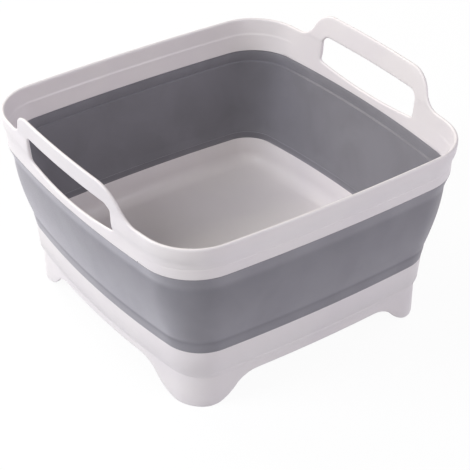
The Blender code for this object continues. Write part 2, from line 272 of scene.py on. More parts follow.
def rim_foot_shape(sizes):
    """The outline where the rim meets the soft wall."""
    return inner_shape(
        rim_top_shape(sizes), sizes.rim_foot_in_x, sizes.rim_foot_in_y, sizes.rim_foot_corner
    )


def wall_foot_shape(sizes):
    """The outline where the soft wall meets the base tray."""
    return inner_shape(
        rim_top_shape(sizes), sizes.wall_foot_in_x, sizes.wall_foot_in_y, sizes.wall_foot_corner
    )


def mix(first, second, part):
    """What lies this part of the way from the first to the second."""
    return tuple(a + (b - a) * part for a, b in zip(first, second))


@lru_cache(maxsize=None)
def quarter_arcs(shape):
    """Centre, radius, start and end of the handle side's arc, the corner's and the plain side's."""
    half_x, half_y, corner, bow_x, bow_y = shape
    radius_x = (half_y**2 + bow_x**2) / (2 * bow_x)
    radius_y = (half_x**2 + bow_y**2) / (2 * bow_y)
    centre_x = Vector((half_x - radius_x, 0.0))
    centre_y = Vector((0.0, half_y - radius_y))
    between = centre_y - centre_x
    reach_x = radius_x - corner
    reach_y = radius_y - corner
    along = (reach_x**2 - reach_y**2 + between.length_squared) / (2 * between.length)
    across = math.sqrt(reach_x**2 - along**2)
    direction = between.normalized()
    middle = centre_x + along * direction + across * Vector((-direction.y, direction.x))
    turn_x = math.atan2(middle.y, middle.x - centre_x.x)
    turn_y = math.atan2(middle.y - centre_y.y, middle.x)
    return (
        (centre_x, radius_x, 0.0, turn_x),
        (middle, corner, turn_x, turn_y),
        (centre_y, radius_y, turn_y, math.pi / 2),
    )


def arc(centre, radius, start, end, steps):
    """Points along an arc, with both ends."""
    angles = [start + (end - start) * step / steps for step in range(steps + 1)]
    return [(centre[0] + radius * math.cos(a), centre[1] + radius * math.sin(a)) for a in angles]


def ring(sizes, shape, inset=0.0):
    """Points round a square with bowed sides and round corners, an inset inside its shape."""
    faces = (sizes.side_steps, sizes.corner_steps, sizes.side_steps)
    quarter = []
    for (centre, radius, start, end), steps in zip(quarter_arcs(shape), faces):
        points = arc(centre, radius - inset, start, end, steps)
        quarter += points[1:] if quarter else points
    back = quarter[::-1]
    return (
        quarter
        + [(-x, y) for x, y in back[1:]]
        + [(-x, -y) for x, y in quarter[1:]]
        + [(x, -y) for x, y in back[1:-1]]
    )


def level(sizes, shape, height, inset=0.0):
    """One loop of a loft, all at one height."""
    return [Vector((x, y, height)) for x, y in ring(sizes, shape, inset)]


def ogee(start, end, first_share, steps):
    """Two touching arcs from a level line down to a lower level line."""
    across = end[0] - start[0]
    down = start[1] - end[1]
    radii = (across**2 + down**2) / (2 * down)
    first = radii * first_share
    second = radii - first
    turn = 2 * math.atan2(down, across)
    upper = arc((start[0], start[1] - first), first, math.pi / 2, math.pi / 2 - turn, steps)
    lower = arc((end[0], end[1] + second), second, -math.pi / 2 - turn, -math.pi / 2, steps)
    return upper + lower[1:]


def corner_curve(before, corner, after, run, steps):
    """Points that round a corner off, from a run before it to a run after it."""
    back = before - corner
    on = after - corner
    start = corner + back.normalized() * min(run, back.length / 2)
    end = corner + on.normalized() * min(run, on.length / 2)
    points = []
    for step in range(steps + 1):
        part = step / steps
        points.append(start.lerp(corner, part).lerp(corner.lerp(end, part), part))
    return points


def soften(plan):
    """The loops of a plan, which pairs each with the run of its rounding or 0."""
    softened = []
    for i, (loop, run) in enumerate(plan):
        if not run:
            softened.append(loop)
            continue
        curves = [
            corner_curve(before, corner, after, run, SOFT_STEPS)
            for before, corner, after in zip(plan[i - 1][0], loop, plan[i + 1][0])
        ]
        softened += [list(points) for points in zip(*curves)]
    return softened


# Meshes

MERGE_DISTANCE = 0.004 * MM
SHARP_ANGLE = math.radians(50.0)


def clear(collection, name):
    """Takes away what an earlier run made under this name."""
    old = collection.get(name)
    if old:
        collection.remove(old)


def new_object(name, data):
    """An object in the scene, in place of an earlier one of its name."""
    clear(bpy.data.objects, name)
    thing = bpy.data.objects.new(name, data)
    bpy.context.scene.collection.objects.link(thing)
    return thing


def join_rows(mesh, rows, closed=False):
    """Faces between neighbouring rows of vertices."""
    for first, second in zip(rows, rows[1:]):
        for i in range(-1 if closed else 0, len(first) - 1):
            mesh.faces.new((first[i], second[i], second[i + 1], first[i + 1]))


def finish_piece(name, mesh, slot, body, nodes):
    """Closes a bmesh into a piece for CAD nodes, which rides on a body if one is given."""
    bmesh.ops.remove_doubles(mesh, verts=mesh.verts, dist=MERGE_DISTANCE)
    bmesh.ops.recalc_face_normals(mesh, faces=mesh.faces)
    data = bpy.data.meshes.new(name)
    mesh.to_mesh(data)
    mesh.free()
    data.shade_smooth()
    data.set_sharp_from_angle(angle=SHARP_ANGLE)
    data.materials.append(finishes()[slot])
    piece = new_object(name, data)
    if body:
        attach(piece, body)
    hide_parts(*nodes)
    return piece


# Finishes

# A group's input or output is a number, apart from these
SOCKET_KINDS = {
    "Vector": "NodeSocketVector",
    "Tone": "NodeSocketColor",
    "Shade": "NodeSocketColor",
    "Color": "NodeSocketColor",
    "Outline": "NodeSocketGeometry",
    "Section": "NodeSocketObject",
    "Finish": "NodeSocketMaterial",
    "Wall": "NodeSocketGeometry",
}
SHARED_LOOK = {
    "Specular_IOR_Level": 0.5,
    "Sheen_Roughness": 0.6,
    "Sheen_Tint": (0.93, 0.91, 1.0, 1.0),
}
# By material slot: what the shared groups, the bump and the shader are given
LOOKS = {
    "white_plastic": {
        "name": "white_moulding",
        "colours": "plastic",
        "drift": {"Scale": 14.0},
        "marks": {"Line_Scale": 900.0, "Patch_Scale": 26.0},
        "grain": {"Pit_Scale": 1500.0, "Wave_Scale": 60.0, "Wave_Share": 0.45},
        "bump": {"Strength": 0.22, "Distance": 0.25 * MM},
        "shader": {"IOR": 1.49, "Sheen_Weight": 0.0},
        "patch_roughness": 0.10,
        "line_roughness": 0.12,
        "line_depth": 0.25,
    },
    "grey_rubber": {
        "name": "grey_moulding",
        "colours": "rubber",
        "drift": {"Scale": 22.0},
        "marks": {"Line_Scale": 1200.0, "Patch_Scale": 34.0},
        "grain": {"Pit_Scale": 2200.0, "Wave_Scale": 90.0, "Wave_Share": 0.25},
        "bump": {"Strength": 0.35, "Distance": 0.2 * MM},
        "shader": {"IOR": 1.5, "Sheen_Weight": 0.65},
        "patch_roughness": 0.14,
        "line_roughness": 0.08,
        "line_depth": 0.2,
    },
}


def add_node(tree, kind, **settings):
    """A node with its settings."""
    node = tree.nodes.new(kind)
    for key, value in settings.items():
        setattr(node, key, value)
    return node


def connect(tree, source, socket):
    """Links a socket to its source, or gives it a plain value."""
    if isinstance(source, bpy.types.NodeSocket):
        tree.links.new(source, socket)
    else:
        socket.default_value = source


def feed(tree, node, **sources):
    """Links or sets a node's inputs by name, with _ for a space."""
    for key, source in sources.items():
        connect(tree, source, node.inputs[key.replace("_", " ")])


def new_tree(name, inputs, outputs, kind="ShaderNodeTree"):
    """A node group with named inputs and outputs."""
    clear(bpy.data.node_groups, name)
    tree = bpy.data.node_groups.new(name, kind)
    for way, labels in (("INPUT", inputs), ("OUTPUT", outputs)):
        for label in labels:
            socket_type = SOCKET_KINDS.get(label, "NodeSocketFloat")
            tree.interface.new_socket(label, in_out=way, socket_type=socket_type)
    given = tree.nodes.new("NodeGroupInput").outputs
    result = tree.nodes.new("NodeGroupOutput").inputs
    return tree, given, result


def calculate(tree, operation, *sources, kind="ShaderNodeMath"):
    """The result of a Math or Vector Math node."""
    node = add_node(tree, kind, operation=operation)
    for source, socket in zip(sources, node.inputs):
        connect(tree, source, socket)
    return node.outputs[0]


def noise(tree, place, scale, **sources):
    """The value of a Noise Texture."""
    node = tree.nodes.new("ShaderNodeTexNoise")
    feed(tree, node, Vector=place, Scale=scale, **sources)
    return node.outputs["Fac"]


def map_range(tree, value, interpolation="LINEAR", **ends):
    """A value carried from one range to another."""
    node = add_node(tree, "ShaderNodeMapRange", interpolation_type=interpolation)
    feed(tree, node, Value=value, **ends)
    return node.outputs["Result"]


def blend_colours(tree, factor, first, second):
    """A Mix node's colour between two colours."""
    node = add_node(tree, "ShaderNodeMix", data_type="RGBA")
    a, b, result = (s for s in (*node.inputs, *node.outputs) if s.type == "RGBA")
    feed(tree, node, Factor=factor)
    connect(tree, first, a)
    connect(tree, second, b)
    return result


def mould_grain_group():
    """The fine skin that a mould leaves: small pits over a slow unevenness."""
    tree, given, result = new_tree(
        "mould_grain", ("Vector", "Pit Scale", "Wave Scale", "Wave Share"), ("Height",)
    )
    pits = noise(tree, given["Vector"], given["Pit Scale"], Detail=3.0, Roughness=0.6)
    waves = noise(tree, given["Vector"], given["Wave Scale"], Detail=1.0)
    blend = add_node(tree, "ShaderNodeMix", data_type="FLOAT")
    feed(tree, blend, Factor=given["Wave Share"], A=pits, B=waves)
    connect(tree, blend.outputs["Result"], result["Height"])
    return tree


def tone_drift_group():
    """Slow cloudy drift between two tones of one colour."""
    tree, given, result = new_tree("tone_drift", ("Vector", "Tone", "Shade", "Scale"), ("Color",))
    clouds = noise(tree, given["Vector"], given["Scale"], Detail=4.0, Distortion=0.6)
    drift = map_range(tree, clouds, "SMOOTHSTEP", From_Min=0.35, From_Max=0.68)
    connect(tree, blend_colours(tree, drift, given["Tone"], given["Shade"]), result["Color"])
    return tree


def handling_marks_group():
    """Where hands and dishes have rubbed: sparse hair lines and dull patches."""
    tree, given, result = new_tree(
        "handling_marks", ("Vector", "Line Scale", "Patch Scale"), ("Lines", "Patches")
    )
    turned = tree.nodes.new("ShaderNodeMapping")
    feed(tree, turned, Vector=given["Vector"], Rotation=(0.5, 0.3, 0.9), Scale=(0.08, 1.0, 1.0))
    hairs = noise(tree, turned.outputs["Vector"], given["Line Scale"], Detail=2.0)
    thin = map_range(tree, hairs, From_Min=0.66, From_Max=0.72)
    clouds = noise(tree, given["Vector"], given["Patch Scale"], Detail=5.0)
    wide = map_range(tree, clouds, "SMOOTHSTEP", From_Min=0.4, From_Max=0.7)
    connect(tree, calculate(tree, "MULTIPLY", thin, wide), result["Lines"])
    connect(tree, wide, result["Patches"])
    return tree


def use_group(tree, group, **sources):
    """Places a shared group and gives its outputs."""
    node = add_node(tree, "ShaderNodeGroup", node_tree=group)
    feed(tree, node, **sources)
    return node.outputs


def new_finish(name):
    """A material with its Principled shader and Object coordinates."""
    clear(bpy.data.materials, name)
    finish = bpy.data.materials.new(name)
    finish.use_nodes = True
    tree = finish.node_tree
    place = tree.nodes.new("ShaderNodeTexCoord").outputs["Object"]
    return finish, tree, tree.nodes["Principled BSDF"], place


def moulded_finish(look, grain_group, drift_group, marks_group):
    """A moulded plastic: drifting tone, mould grain, and rubbed places that are rougher."""
    settings = bpy.context.scene.sink_finishes
    tone, shade, roughness = (
        getattr(settings, look["colours"] + end) for end in ("", "_shade", "_roughness")
    )
    finish, tree, shader, place = new_finish(look["name"])
    colours = {"Tone": (*tone, 1.0), "Shade": (*shade, 1.0)}
    drift = use_group(tree, drift_group, Vector=place, **colours, **look["drift"])
    marks = use_group(tree, marks_group, Vector=place, **look["marks"])
    grain = use_group(tree, grain_group, Vector=place, **look["grain"])

    def marked(mark, strength, base):
        return calculate(tree, "MULTIPLY_ADD", marks[mark], strength, base)

    rubbed = marked("Patches", look["patch_roughness"], roughness)
    lined = marked("Lines", look["line_roughness"], rubbed)
    height = marked("Lines", -look["line_depth"], grain["Height"])
    bump = tree.nodes.new("ShaderNodeBump")
    feed(tree, bump, Height=height, **look["bump"])
    normal = bump.outputs["Normal"]
    feed(tree, shader, Base_Color=drift["Color"], Roughness=lined, Normal=normal)
    feed(tree, shader, **SHARED_LOOK, **look["shader"])
    return finish


def finishes():
    """The two plastics by slot, made once and shared by the pieces."""
    made = {slot: bpy.data.materials.get(look["name"]) for slot, look in LOOKS.items()}
    if not all(made.values()):
        groups = (mould_grain_group(), tone_drift_group(), handling_marks_group())
        made = {slot: moulded_finish(look, *groups) for slot, look in LOOKS.items()}
    return made


# Rim frame

# Outer face from foot to top: share of the rim's height, share of the foot's inset
RIM_FACE_SHARES = (
    (0.0, 1.0), (0.17, 0.98), (0.28, 0.95), (0.45, 0.79), (0.64, 0.25), (0.81, 0.04), (1.0, 0.0)
)
# Heights of the rows above the rim's foot, in shares of the rim's height
RIM_ROW_SHARES = (
    0.08, 0.17, 0.25, 0.29, 0.302, 0.311, 0.32, 0.332, 0.4, 0.48, 0.51, 0.523, 0.58, 0.65, 0.72,
    0.79, 0.87,
)
BLOCK_MARGIN = 4.0 * MM
LEAN_START = 4.0 * MM
GROOVE_HALF = 0.45 * MM
SILL_CLEARANCE = 0.5 * MM
# Where the groove and the ledge begin, as a place round the rim
LINE_START = 1.5
# Faces between the hole and the block's edge, over an edge, and along half of the hole and handle
HOLE_RINGS = 9
EDGE_STEPS = 8
SILL_FACES = 24
OVER_FACES = 40
HOLE_CORNER_FACES = 24
HANDLE_ARC_FACES = 12
# Points of the arcs that these faces are laid along
SILL_POINTS = 40
HOLE_CORNER_POINTS = 20
LOWER_CORNER_POINTS = 8


def face_share(part):
    """Share of the foot's inset at a share of the rim's height, as one smooth curve."""
    table = RIM_FACE_SHARES
    if part >= 1.0:
        return 0.0
    part = max(part, 0.0)
    i = max(k for k in range(len(table) - 1) if table[k][0] <= part)
    slopes = []
    for k in (i, i + 1):
        before = table[max(k - 1, 0)]
        after = table[min(k + 1, len(table) - 1)]
        slopes.append((after[1] - before[1]) / (after[0] - before[0]))
    if i + 1 == len(table) - 1:
        slopes[1] = 0.0
    width = table[i + 1][0] - table[i][0]
    t = (part - table[i][0]) / width
    return (
        (2 * t**3 - 3 * t**2 + 1) * table[i][1]
        + (t**3 - 2 * t**2 + t) * width * slopes[0]
        + (3 * t**2 - 2 * t**3) * table[i + 1][1]
        + (t**3 - t**2) * width * slopes[1]
    )


class RimSurface:
    """Turns a place round a quarter of the rim, a height and a depth into a point.

    A place up to the block's end is a distance along Y on the handle side.
    Then 1 to 2 is the rest of that side, 2 to 3 the corner and 3 to 4 the plain side.
    """

    def __init__(self, sizes, rim):
        self.top_shape = rim_top_shape(sizes)
        self.foot_shape = rim_foot_shape(sizes)
        self.foot = sizes.tray_height + sizes.wall_height
        self.height = sizes.rim_height
        self.lean = rim.handle_lean
        self.block_end = rim.handle_foot_half + BLOCK_MARGIN
        self.foot_thickness = sizes.rim_foot_thickness
        self.top_thickness = rim.top_thickness

    def thickness(self, height):
        part = min(max((height - self.foot) / self.height, 0.0), 1.0)
        return self.foot_thickness + (self.top_thickness - self.foot_thickness) * part

    def leaning(self, height):
        above = height - self.foot - self.height
        if above <= 0.0:
            return 0.0
        if above < LEAN_START:
            return self.lean * above**2 / (2 * LEAN_START)
        return self.lean * (above - LEAN_START / 2)

    def point(self, place, height, depth):
        up = (height - self.foot) / self.height
        outer = face_share(up)
        straight = min(max(1 - up, 0.0), 1.0)
        part = outer + (straight - outer) * min(max(depth / self.thickness(height), 0.0), 1.0)
        shape = mix(self.top_shape, self.foot_shape, part)
        inset = depth - self.leaning(height)
        on_block = place <= self.block_end
        stretch = max(math.ceil(place) - 2, 0)
        centre, radius, start, end = quarter_arcs(shape)[stretch]
        reach = radius - inset
        if on_block:
            return Vector((centre.x + math.sqrt(reach**2 - place**2), place, height))
        if stretch == 0:
            start = math.asin(self.block_end / reach)
        turn = start + (end - start) * (place - 1 - stretch)
        return Vector((centre.x + reach * math.cos(turn), centre.y + reach * math.sin(turn), height))


def line_normals(points, ends):
    """Unit normals to the left of a line of points, with given normals at its two ends."""
    normals = [Vector(ends[0])]
    for before, after in zip(points, points[2:]):
        along = (Vector(after) - Vector(before)).normalized()
        normals.append(Vector((-along.y, along.x)))
    normals.append(Vector(ends[1]))
    return normals


def spaced(start, end, steps):
    """Evenly spaced points from start up to but without the end."""
    first = Vector(start)
    last = Vector(end)
    return [first.lerp(last, step / steps) for step in range(steps)]


def even_line(points, steps):
    """The same line, with evenly spaced points."""
    line = [Vector(point) for point in points]
    runs = [0.0]
    for first, second in zip(line, line[1:]):
        runs.append(runs[-1] + (second - first).length)
    even = []
    k = 0
    for step in range(steps + 1):
        want = runs[-1] * step / steps
        while k < len(line) - 2 and runs[k + 1] < want:
            k += 1
        even.append(line[k].lerp(line[k + 1], (want - runs[k]) / (runs[k + 1] - runs[k])))
    return even


def hole_line(sizes, rim, side):
    """Half of the finger hole's edge, from the middle of its sill to the middle of its top."""
    foot = sizes.tray_height + sizes.wall_height
    sill = foot + rim.hole_sill
    roof = foot + sizes.rim_height + rim.handle_rise - rim.handle_bar
    radius = (rim.hole_half**2 + rim.hole_sag**2) / (2 * rim.hole_sag)
    turn = math.asin(rim.hole_half / radius)
    down = -math.pi / 2
    sill_arc = arc((0.0, sill + radius), radius, down, down + turn, SILL_POINTS)
    sill_line = [Vector(point) for point in sill_arc]
    upright = Vector((rim.hole_half, roof - rim.hole_corner))
    # The lower corner is rounded along the sill's last three spans
    curve = corner_curve(
        sill_line[-4], sill_line[-1], upright, rim.hole_lower_corner, LOWER_CORNER_POINTS
    )
    half = LOWER_CORNER_POINTS // 2
    sill_end = curve[0].x - SILL_CLEARANCE
    sill_line = [point for point in sill_line if point.x < sill_end] + curve[: half + 1]
    centre = (rim.hole_half - rim.hole_corner, roof - rim.hole_corner)
    corner = arc(centre, rim.hole_corner, 0.0, math.pi / 2, HOLE_CORNER_POINTS)
    line = even_line(sill_line, SILL_FACES)
    for run, steps in (
        (curve[half:] + [upright], side),
        (corner, HOLE_CORNER_FACES),
        ([corner[-1], (0.0, roof)], OVER_FACES - HOLE_CORNER_FACES),
    ):
        line += even_line(run, steps)[1:]
    return line


def block_line(surface, sizes, rim, rows, edge):
    """The handle block's outer edge, from the middle of its foot round to the middle of its top."""
    rim_top = surface.foot + sizes.rim_height
    handle_top = rim_top + rim.handle_rise
    top_end = (rim.handle_top_half, handle_top)
    foot_end = (rim.handle_foot_half, rim_top)
    shoulder = ogee(top_end, foot_end, rim.handle_shoulder, HANDLE_ARC_FACES)[::-1]
    outer = [Vector(point) for point in ((surface.block_end, rim_top), *shoulder)]
    left = OVER_FACES + 1 - len(outer)
    for step in range(1, left + 1):
        outer.append(Vector((rim.handle_top_half * (1 - step / left), handle_top)))
    normals = line_normals(outer, ((0.0, 1.0), (0.0, 1.0)))
    normals = [normal if normal.y > 0 else -normal for normal in normals]
    inner = [point - normal * edge for point, normal in zip(outer, normals)]
    line = spaced((0.0, rows[0]), (surface.block_end, rows[0]), SILL_FACES)
    line += [Vector((surface.block_end, row)) for row in rows]
    return line + inner[1:], normals


def edge_strip(mesh, surface, chain, edge, full):
    """Rounds an edge from the outer face to the inner one, as a half round or two corners."""
    rows = []
    for (outer_vert, inner_vert, at), out in chain:
        thickness = surface.thickness(at[1])
        radius = thickness / 2 if full else edge
        row = [outer_vert]
        for step in range(1, EDGE_STEPS):
            turn = math.pi * step / EDGE_STEPS
            depth = radius * (1 - math.cos(turn))
            if turn > math.pi / 2:
                depth += thickness - 2 * radius
            reach = edge * math.sin(turn)
            place, height = at[0] + out.x * reach, at[1] + out.y * reach
            row.append(mesh.verts.new(surface.point(place, height, depth)))
        rows.append(row + [inner_vert])
    join_rows(mesh, rows)


def quarter_rim(sizes, rim):
    """One quarter of the rim frame, from the middle of a handle to the middle of a plain side.

    A column is a row of stations: an outer vertex, an inner one, and their place and height.
    """
    surface = RimSurface(sizes, rim)
    edge = rim.top_thickness / 2
    foot = surface.foot + rim.foot_edge
    top = surface.foot + sizes.rim_height - edge
    rows = [foot] + [surface.foot + part * sizes.rim_height for part in RIM_ROW_SHARES] + [top]
    hole = hole_line(sizes, rim, len(rows) - 1)
    into_hole = line_normals(hole, ((0.0, 1.0), (0.0, -1.0)))
    block, top_normals = block_line(surface, sizes, rim, rows, edge)
    mesh = bmesh.new()

    def station(at, groove=0.0, ledge=0.0):
        """Both vertices of one place and height, with the depths of the fine lines there."""
        outer = mesh.verts.new(surface.point(*at, groove))
        inner = mesh.verts.new(surface.point(*at, surface.thickness(at[1]) + ledge))
        return outer, inner, at

    columns = []
    for inside, out, outside in zip(hole, into_hole, block):
        start = inside - out * edge
        shares = [step / HOLE_RINGS for step in range(HOLE_RINGS + 1)]
        columns.append([station(start.lerp(outside, part)) for part in shares])
    places = [1.0 + step / 2 for step in (1, 2)]
    places += [2.0 + step / sizes.corner_steps for step in range(1, sizes.corner_steps + 1)]
    places += [3.0 + step / sizes.side_steps for step in range(1, sizes.side_steps + 1)]
    groove_z = surface.foot + rim.groove_height
    ledge_z = surface.foot + rim.ledge_height
    first_top = SILL_FACES + len(rows) - 1
    plain = [[column[-1] for column in columns[SILL_FACES : first_top + 1]]]
    for place in places:
        fade = min(max(place - LINE_START, 0.0), 1.0)
        column = []
        for height in rows:
            groove = rim.groove_depth * max(0.0, 1 - abs(height - groove_z) / GROOVE_HALF)
            ledge = rim.ledge_depth if height < ledge_z else 0.0
            column.append(station((place, height), groove * fade, ledge * fade))
        plain.append(column)
    for block_of_columns in (columns, plain):
        for side in (0, 1):
            join_rows(mesh, [[item[side] for item in column] for column in block_of_columns])
    up = Vector((0.0, 1.0))
    top_chain = [(column[-1], out) for column, out in zip(columns[first_top:], top_normals)][::-1]
    top_chain += [(column[-1], up) for column in plain[1:]]
    hole_chain = [(column[0], out) for column, out in zip(columns, into_hole)]
    foot_chain = [(column[-1], -up) for column in columns[: SILL_FACES + 1]]
    foot_chain += [(column[0], -up) for column in plain[1:]]
    edge_strip(mesh, surface, top_chain, edge, True)
    edge_strip(mesh, surface, hole_chain, edge, True)
    edge_strip(mesh, surface, foot_chain, rim.foot_edge, False)
    return mesh


def mirrored_quarters(quarter):
    """A whole mesh from the quarter at +X and +Y."""
    whole = bmesh.new()
    for side_x in (1, -1):
        for side_y in (1, -1):
            copies = {
                vert: whole.verts.new((side_x * vert.co.x, side_y * vert.co.y, vert.co.z))
                for vert in quarter.verts
            }
            for face in quarter.faces:
                corners = [copies[vert] for vert in face.verts]
                whole.faces.new(corners if side_x == side_y else corners[::-1])
    quarter.free()
    return whole


class SINK_OT_rim_frame(bpy.types.Operator):
    """Make the rigid rim with its two handles and their finger holes"""

    bl_idname = "sink.rim_frame"
    bl_label = "Rim frame"

    def execute(self, context):
        scene = context.scene
        mesh = mirrored_quarters(quarter_rim(scene.sink_outline, scene.sink_rim))
        finish_piece("rim_frame_moulding", mesh, "white_plastic", "rim", ["rim_frame"])
        return {"FINISHED"}


# Soft wall

PANEL_STEPS = 16
# Crowds the panel's points towards its upper end
PANEL_CROWDING = 1.5
FOLD_STEPS = 4
LINE_HALF = 0.5 * MM
# The lower lip's inner edge: share of the lip's width where it starts, and its height
LIP_EDGE_SHARE = 0.97
LIP_EDGE_RISE = 0.3 * MM
# The ledge under the hinge: its height, and its thickness by the wall's
LEDGE_RISE = 0.8 * MM
LEDGE_SHARE = 1.08
# The fine line at the rim: half of its height, and how much thinner it and its edges are
RIM_LINE_HALF = 0.8 * MM
RIM_LINE_SHARE = 0.25
RIM_EDGE_SHARE = 0.06
# A thickness step that leaves a section point where it is
STILL = (0.0, 0.0, 0.0)


def wall_profile(sizes, wall):
    """Points down the wall's outer face, each its inset and height, and the whole inset."""
    foot = sizes.tray_height
    top = foot + sizes.wall_height
    upper = top - wall.upper_crease_drop
    lower = foot + wall.lower_crease_rise
    span = (sizes.wall_foot_in_x + sizes.wall_foot_in_y) / 2
    power = math.log(wall.panel_fall_share, 0.5)
    line = [(0.0, top), (wall.upper_crease_share, upper)]
    fall = wall.lower_crease_share - wall.upper_crease_share
    for step in range(1, PANEL_STEPS + 1):
        panel = (step / PANEL_STEPS) ** PANEL_CROWDING
        height = upper - (upper - lower) * panel**power
        line.append((wall.upper_crease_share + fall * panel, height))
    line += [(wall.lip_bulge_share, foot + wall.lip_bulge_rise), (1.0, foot)]
    return [Vector((part * span, 0.0, height)) for part, height in line], span


def inward_steps(points):
    """Unit steps inwards, square to a line of points."""
    steps = []
    for i in range(len(points)):
        before = points[max(i - 1, 0)]
        after = points[min(i + 1, len(points) - 1)]
        along = (after - before).normalized()
        steps.append(Vector((-along.z, 0.0, along.x)))
    return steps


def sweep_tree():
    """Geometry Nodes that carry a section round the basin, from the rim's outline to the tray's."""
    tree, given, result = new_tree(
        "soft_wall_sweep",
        ("Outline", "Section", "Wall Thickness", "Lip Width", "Finish"),
        ("Wall",),
        "GeometryNodeTree",
    )

    def count_points(geometry):
        node = add_node(tree, "GeometryNodeAttributeDomainSize", component="MESH")
        feed(tree, node, Geometry=geometry)
        return node.outputs["Point Count"]

    def sample(geometry, name, index):
        """A vector attribute of one point."""
        named = add_node(tree, "GeometryNodeInputNamedAttribute", data_type="FLOAT_VECTOR")
        feed(tree, named, Name=name)
        node = add_node(
            tree, "GeometryNodeSampleIndex", data_type="FLOAT_VECTOR", domain="POINT"
        )
        feed(tree, node, Geometry=geometry, Value=named.outputs["Attribute"], Index=index)
        return node.outputs["Value"]

    def split(vector):
        node = tree.nodes.new("ShaderNodeSeparateXYZ")
        feed(tree, node, Vector=vector)
        return node.outputs

    def number(operation, *sources):
        return calculate(tree, operation, *sources)

    def vector(operation, *sources):
        return calculate(tree, operation, *sources, kind="ShaderNodeVectorMath")

    section = add_node(tree, "GeometryNodeObjectInfo", transform_space="ORIGINAL")
    feed(tree, section, Object=given["Section"])
    section_geometry = section.outputs["Geometry"]
    around = count_points(given["Outline"])
    along = count_points(section_geometry)
    rows = number("ADD", along, 1.0)
    grid = tree.nodes.new("GeometryNodeMeshGrid")
    feed(tree, grid, Vertices_X=number("ADD", around, 1.0), Vertices_Y=rows)
    index = tree.nodes.new("GeometryNodeInputIndex").outputs["Index"]
    column = number("FLOOR", number("DIVIDE", number("ADD", index, 0.5), rows))
    row = number("SUBTRACT", index, number("MULTIPLY", column, rows))
    column = number("FLOORED_MODULO", column, around)
    row = number("FLOORED_MODULO", row, along)
    rim_point = sample(given["Outline"], "position", column)
    foot_point = sample(given["Outline"], "foot_point", column)
    inward = sample(given["Outline"], "inward", column)
    station = split(sample(section_geometry, "position", row))
    step = split(sample(section_geometry, "thickness_step", row))
    lip_in = number("MULTIPLY", station["Y"], given["Lip Width"])
    moved_in = number("MULTIPLY_ADD", step["X"], given["Wall Thickness"], lip_in)
    height = number("MULTIPLY_ADD", step["Z"], given["Wall Thickness"], station["Z"])
    across = vector("SUBTRACT", foot_point, rim_point)
    outer = vector("MULTIPLY_ADD", across, station["X"], rim_point)
    inner = vector("MULTIPLY_ADD", inward, moved_in, outer)
    lift = tree.nodes.new("ShaderNodeCombineXYZ")
    feed(tree, lift, Z=height)
    geometry = grid.outputs["Mesh"]
    for kind, sources in (
        ("GeometryNodeSetPosition", {"Position": vector("ADD", inner, lift.outputs["Vector"])}),
        ("GeometryNodeMergeByDistance", {"Distance": MERGE_DISTANCE}),
        ("GeometryNodeRealizeInstances", {}),
        ("GeometryNodeSetMaterial", {"Material": given["Finish"]}),
    ):
        node = tree.nodes.new(kind)
        feed(tree, node, Geometry=geometry, **sources)
        geometry = node.outputs["Geometry"]
    connect(tree, geometry, result["Wall"])
    return tree


def point_object(name, points, vectors):
    """An object of bare points with vector attributes, as input for Geometry Nodes."""
    data = bpy.data.meshes.new(name)
    data.from_pydata(points, [], [])
    for label, values in vectors.items():
        attribute = data.attributes.new(label, "FLOAT_VECTOR", "POINT")
        for item, value in zip(attribute.data, values):
            item.vector = value
    return new_object(name, data)


def section_points(sizes, wall):
    """The closed section: down the outer face, round the lower lip and up the inner face.

    A point is its inset share, its share of the lip's width and its height. A step is how far
    the wall's thickness moves that point in and up.
    """
    outer, span = wall_profile(sizes, wall)
    foot = sizes.tray_height
    top = foot + sizes.wall_height
    folds = (1, len(outer) - 3, len(outer) - 2)
    face = []
    for i, point in enumerate(outer):
        if i in folds:
            face += corner_curve(*outer[i - 1 : i + 2], wall.crease_softness, FOLD_STEPS)
        else:
            face.append(point)
    points = [(p.x / span, 0.0, p.z) for p in face]
    # The lower lip: from the tray's outer edge across to the bowl, then up past a fine line
    points += [(1.0, 0.5, foot), (1.0, LIP_EDGE_SHARE, foot), (1.0, 1.0, foot + LIP_EDGE_RISE)]
    for rise, cut in ((-LINE_HALF, 0.0), (0.0, wall.seam_depth), (LINE_HALF, 0.0)):
        up = wall.seam_rise + rise
        points.append((1.0, 1.0 - (wall.lip_lean * up + cut) / sizes.bowl_in, foot + up))
    steps = [STILL] * len(points)
    # The panel, straighter inside and thicker towards its lower end
    line = outer[:-2]
    inward = inward_steps(line)
    chord = line[1] - line[-1]
    for i in range(len(line) - 1, 1, -1):
        rise = (line[i].z - line[-1].z) / chord.z
        bulge = line[-1].x + chord.x * rise - line[i].x
        extra = bulge * wall.inner_straight + wall.panel_swell * (1.0 - rise)
        points.append((line[i].x / span, 0.0, line[i].z))
        steps.append((inward[i].x + extra / wall.thickness, 0.0, inward[i].z))
    # The hinge: a ledge over the panel, a thin lip above it and a fine line at the rim
    thick = sizes.rim_foot_thickness / wall.thickness
    for drop, thickness in (
        (wall.hinge_drop + LEDGE_RISE, LEDGE_SHARE),
        (wall.hinge_drop, wall.hinge_share),
        (2 * RIM_LINE_HALF, thick - RIM_EDGE_SHARE),
        (RIM_LINE_HALF, thick - RIM_LINE_SHARE),
        (0.0, thick - RIM_EDGE_SHARE),
    ):
        points.append((wall.upper_crease_share * drop / wall.upper_crease_drop, 0.0, top - drop))
        steps.append((thickness, 0.0, 0.0))
    return points, steps


